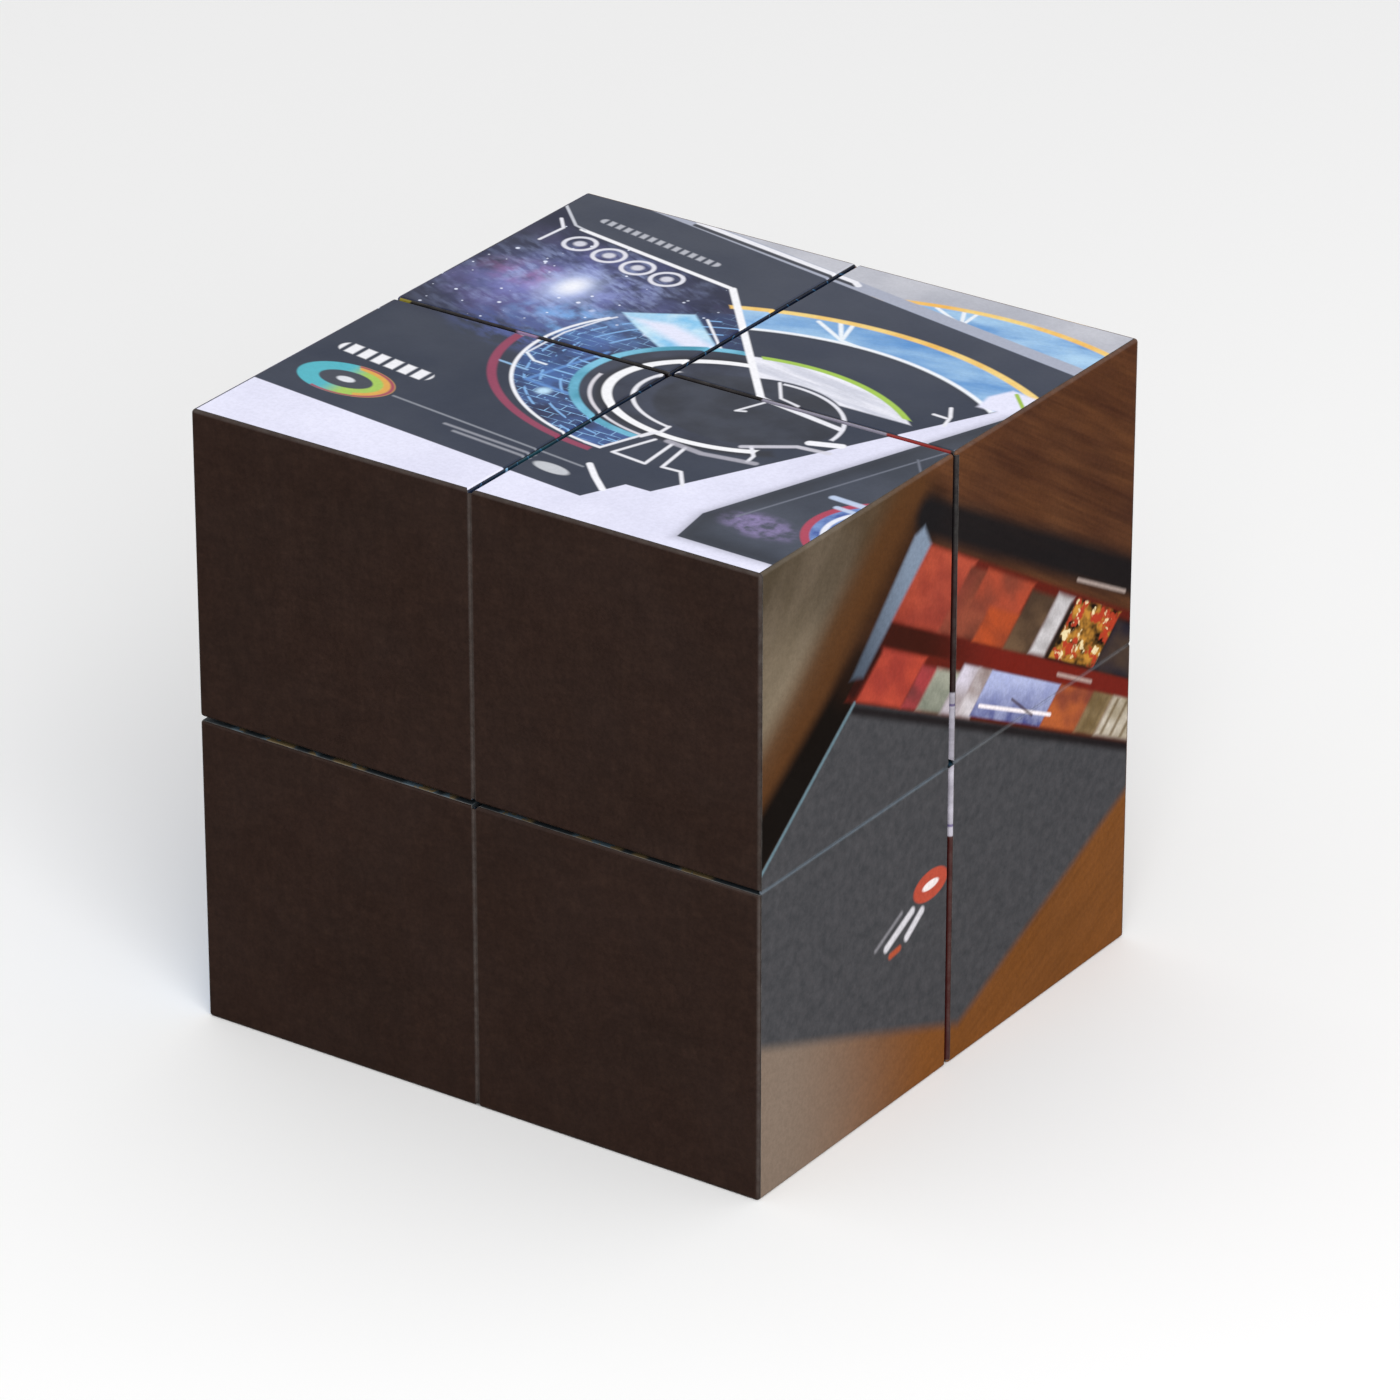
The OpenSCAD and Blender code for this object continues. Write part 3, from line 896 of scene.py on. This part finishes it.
def cut_edge():
    """Cut edge of the film: bare polypropylene between print and laminate, paler and duller than the face."""
    material = bpy.data.materials.new("polypropylene_film_cut_edge")
    material.use_nodes = True
    tree = material.node_tree
    shader = tree.nodes["Principled BSDF"]
    place = put(tree, "TexCoord", (), out=3)
    nicks = put(tree, "TexNoise", {"Vector": place, "Scale": 1 / (1.2 * MM), "Detail": 3.0})
    share = put(tree, "MapRange", (nicks, 0.35, 0.65, 0.0, 1.0))
    colour = put(tree, "Mix", {0: share, 6: "#4a4644", 7: "#6b6764"}, out=2, data_type="RGBA")
    tree.links.new(colour, shader.inputs["Base Color"])
    tree.links.new(put(tree, "MapRange", (nicks, 0.3, 0.7, 0.5, 0.7)), shader.inputs["Roughness"])
    shader.inputs["IOR"].default_value = 1.49
    bump = put(tree, "Bump", {"Strength": 0.4, "Distance": 0.01 * MM, "Height": nicks})
    tree.links.new(bump, shader.inputs["Normal"])
    return material


FILMS = {
    "top": film("polypropylene_film_printed_sky_poster", top_picture, 0, 1),
    "right": film("polypropylene_film_printed_table_and_folder", right_picture, 1, 2, 0.03),
    "front": film("polypropylene_film_printed_espresso", front_picture, 0, 2, 0.04),
    "back": film("polypropylene_film_printed_table_runner", back_picture, 0, 2),
    "left": film("polypropylene_film_printed_night_horizon", left_picture, 1, 2),
    "bottom": film("polypropylene_film_printed_espresso_band", bottom_picture, 0, 1),
    "inside_x": film("polypropylene_film_printed_contours", inside_x_picture, 1, 2),
    "inside_y": film("polypropylene_film_printed_broad_fields", inside_y_picture, 0, 2),
    "inside_z": film("polypropylene_film_printed_warm_dashes", inside_z_picture, 0, 1),
}
SHELL = moulded_shell()
CUT_EDGE = cut_edge()


# ---------------------------------------------------------------- pieces

def sides_of(body):
    """Which side of the cube a cubelet is on along X, Y and Z, each -1 or 1."""
    sides = [0, 0, 0]
    for word in body.split("_"):
        axis, side = SIDE_WORDS[word]
        sides[axis] = side
    return sides


def carries_hinge(edge, middle, sides):
    """Whether film crosses the slit at this edge of a cubelet, so that the edge stays square. Every cubelet
    has one such edge between its inner X and outer Y faces. A right one has another between its outer X
    and inner Z faces, and a left one between its inner Y and inner Z faces."""
    spot = (edge.verts[0].co + edge.verts[1].co) / 2 - middle
    faces = {(i, spot[i] * sides[i] > 0) for i in range(3) if abs(spot[i]) > MM}
    second = {(0, True), (2, False)} if sides[0] > 0 else {(1, False), (2, False)}
    return faces in ({(0, False), (1, True)}, second)


def claim(axis, outer, sides, level):
    """How strongly the film on one face of a cubelet claims a rounded edge next to it. Claims that are
    nearly alike share the edge along its middle. Level is true for an edge that lies level."""
    if outer:
        return (100, 1000, 10)[axis]
    if axis == 1 and sides[1] > 0:
        return 10 if level else 100000
    if axis == 0 and sides[0] < 0:
        return 10
    if axis == 2 and sides[2] < 0:
        return 600
    return 1


def owner(face, sides):
    """The face of the cubelet whose film covers this facet, as its axis and whether it is an outer face."""
    leans = [(i, face.normal[i] * sides[i] > 0) for i in range(3)]
    level = abs(face.normal.z) > 0.1
    return max(leans, key=lambda way: abs(face.normal[way[0]]) * claim(*way, sides, level))


def cubelet_mesh(low, high, sides):
    """The outside of one wrapped cubelet, with its free edges rounded."""
    bm = bmesh.new()
    bmesh.ops.create_cube(bm, size=1)
    bmesh.ops.scale(bm, vec=high - low, verts=bm.verts)
    bmesh.ops.translate(bm, vec=(low + high) / 2, verts=bm.verts)
    free = [e for e in bm.edges if not carries_hinge(e, (low + high) / 2, sides)]
    bmesh.ops.bevel(
        bm, geom=free, offset=EDGE_R, segments=EDGE_STEPS, profile=0.5, affect="EDGES", material=-1
    )
    return bm


def keep_mesh(bm, name, *materials):
    """Makes the bmesh an object with these materials."""
    mesh = bpy.data.meshes.new(name)
    bm.to_mesh(mesh)
    bm.free()
    for material in materials:
        mesh.materials.append(material)
    mesh.shade_smooth()
    piece = bpy.data.objects.new(name, mesh)
    bpy.context.scene.collection.objects.link(piece)
    return piece


def film_panel(whole, body, sides, way):
    """The film on one face of a cubelet: its share of the outside, cut a little short and given thickness."""
    axis, outer = way
    label = OUTER_NAMES[axis, sides[axis]] if outer else INNER_NAMES[axis]
    bm = whole.copy()
    others = [f for f in bm.faces if owner(f, sides) != way]
    bmesh.ops.delete(bm, geom=others, context="FACES")
    rim = bmesh.ops.inset_region(
        bm, faces=bm.faces[:], thickness=SEAM, use_even_offset=True, use_boundary=True
    )
    bmesh.ops.delete(bm, geom=rim["faces"], context="FACES")
    kind = "print" if outer else "film"
    piece = keep_mesh(bm, f"{body}_{kind}_{label}", FILMS[label], CUT_EDGE)
    thicken = piece.modifiers.new("film", "SOLIDIFY")
    thicken.thickness = FILM_T
    thicken.offset = -1
    thicken.use_even_offset = True
    thicken.material_offset_rim = 1
    piece.modifiers.new("flat_faces", "WEIGHTED_NORMAL")
    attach(piece, body)
    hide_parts(f"{body}_{'outer' if outer else 'inner'}_print")


def wrap_cubelet(body):
    """Six panels of film round one cubelet."""
    sides = sides_of(body)
    corners = [c for part in ("outer", "inner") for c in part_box(f"{body}_{part}_print")]
    low = Vector(min(c[i] for c in corners) for i in range(3))
    high = Vector(max(c[i] for c in corners) for i in range(3))
    whole = cubelet_mesh(low, high, sides)
    for axis in range(3):
        for outer in (True, False):
            film_panel(whole, body, sides, (axis, outer))
    whole.free()


def hinge_mesh(node, body):
    """A film hinge as a strip creased along its middle, where it has folded. Returns its bmesh, its axis
    across the slit, its half width and the middle of its outer face."""
    low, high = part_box(node)
    size, middle = high - low, (low + high) / 2
    thick, across, long = sorted(range(3), key=lambda i: size[i])
    cubelet_low, cubelet_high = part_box(f"{body}_box")
    out = 1 if middle[thick] > (cubelet_low[thick] + cubelet_high[thick]) / 2 else -1
    half = size[across] / 2 + SEAM - TOUCH_GAP
    turn = Matrix.Identity(3)
    for place, axis in enumerate((across, long, thick)):
        for row in range(3):
            turn[row][place] = out if axis == thick and row == axis else float(row == axis)

    bm = bmesh.new()
    bmesh.ops.create_grid(bm, x_segments=12, y_segments=24, size=0.5)
    bmesh.ops.scale(bm, vec=(2 * half, size[long], 1), verts=bm.verts)
    for vert in bm.verts:
        vert.co.z = -CREASE_DEPTH * max(0, 1 - abs(vert.co.x) / half) ** CREASE_CURVE
    shell = bmesh.ops.extrude_face_region(bm, geom=bm.faces[:])
    moved = [v for v in shell["geom"] if isinstance(v, bmesh.types.BMVert)]
    bmesh.ops.translate(bm, vec=(0, 0, -FILM_T), verts=moved)
    bmesh.ops.transform(bm, matrix=turn.to_4x4(), verts=bm.verts)
    skin = middle.copy()
    skin[thick] = high[thick] if out > 0 else low[thick]
    bmesh.ops.translate(bm, vec=skin, verts=bm.verts)
    bmesh.ops.recalc_face_normals(bm, faces=bm.faces)
    return bm, across, half, skin


def hinge_label(node):
    """The picture that runs over this hinge."""
    if node.startswith("inner"):
        return "inside_z"
    return node.split("_")[0]


def bending_hinge(node, joint_name):
    """A film hinge across a joint, shaped on the first of the joint's two bodies. It is tied to neither body
    and does not bend.
    """
    joint = next(j for j in frame["joints"] if j["name"] == joint_name)
    first, second = joint["parent"], joint["child"]
    if sum(joint["axis"]) < 0:
        # so that the two bodies always open about a positive axis
        first, second = second, first
    bm, across, half, middle = hinge_mesh(node, first)
    strip = keep_mesh(bm, node + "_film", FILMS[hinge_label(node)])
    start, end = middle.copy(), middle.copy()
    side = sides_of(first)[across]
    start[across] += side * half
    end[across] -= side * half
    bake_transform(strip)
    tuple(start)
    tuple(end)
    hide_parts(node)


def open_hinge(node, body):
    """The one film hinge that rides on a single body."""
    bm = hinge_mesh(node, body)[0]
    strip = keep_mesh(bm, node + "_film", FILMS[hinge_label(node)])
    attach(strip, body)
    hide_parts(node)


for body in frame["bodies"]:
    wrap_cubelet(body)
    for part in ("box", "lid"):
        mesh = frame["nodes"][f"{body}_{part}"].data
        mesh.materials.clear()
        mesh.materials.append(SHELL)
for node, joint_name in HINGES.items():
    bending_hinge(node, joint_name)
open_hinge(*OPEN_HINGE)


# ---------------------------------------------------------------- floor, light and camera

def pale_floor():
    """Matt white floor under the cube."""
    bm = bmesh.new()
    bmesh.ops.create_grid(bm, x_segments=1, y_segments=1, size=8)
    material = bpy.data.materials.new("painted_floor_pale")
    material.use_nodes = True
    shader = material.node_tree.nodes["Principled BSDF"]
    shader.inputs["Base Color"].default_value = linear("#fbfbfb")
    shader.inputs["Roughness"].default_value = 0.9
    floor = keep_mesh(bm, "floor", material)
    floor.location.z = CAD_LOW.z
    # the floor's light still reaches the object, but its white doesn't mirror in the glossy film
    floor.visible_glossy = False


def direction(azimuth, elevation):
    """The way to a place round the cube, in degrees. Azimuth 0 is in front, and grows towards the right."""
    azimuth, elevation = math.radians(azimuth), math.radians(elevation)
    level = math.cos(elevation)
    return Vector((math.sin(azimuth) * level, -math.cos(azimuth) * level, math.sin(elevation)))


def softbox(name, azimuth, elevation, distance, size, power):
    """A square soft light aimed at the cube, its distance and size in metres."""
    away = direction(azimuth, elevation)
    lamp = bpy.data.lights.new(name, "AREA")
    lamp.size = size
    lamp.energy = power
    light = bpy.data.objects.new(name, lamp)
    light.location = CENTRE + away * distance
    light.rotation_mode = "QUATERNION"
    light.rotation_quaternion = away.to_track_quat("Z", "Y")
    bpy.context.scene.collection.objects.link(light)


def studio_world():
    """Soft white light from above, and a darker studio below the horizon."""
    world = bpy.data.worlds.new("studio")
    world.use_nodes = True
    tree = world.node_tree
    way = put(tree, "TexCoord", (), out=0)
    height = put(tree, "SeparateXYZ", (way,), out=2)
    share = put(tree, "MapRange", (height, -0.1, 0.05, 0.0, 1.0))
    colour = put(tree, "Mix", {0: share, 6: "#141414", 7: "#ffffff"}, out=2, data_type="RGBA")
    tree.links.new(colour, tree.nodes["Background"].inputs["Color"])
    tree.nodes["Background"].inputs["Strength"].default_value = 0.68
    bpy.context.scene.world = world


def studio_camera(target, azimuth, elevation, distance):
    """A long lens aimed at the target, which is in millimetres. Its distance is in metres."""
    away = direction(azimuth, elevation)
    camera = bpy.data.objects.new("camera", bpy.data.cameras.new("camera"))
    camera.data.sensor_width = 36
    camera.data.lens = 206.3
    camera.location = Vector(target) * MM + away * distance
    camera.rotation_mode = "QUATERNION"
    camera.rotation_quaternion = away.to_track_quat("Z", "Y")
    camera.data.clip_start = 0.01
    bpy.context.scene.collection.objects.link(camera)
    bpy.context.scene.camera = camera


pale_floor()
studio_world()
softbox("key", azimuth=45, elevation=33, distance=1.1, size=0.8, power=9)
studio_camera(target=(3.8, 0, 33.7), azimuth=34.5, elevation=26.12, distance=0.8377)
bpy.context.scene.view_settings.view_transform = "Standard"
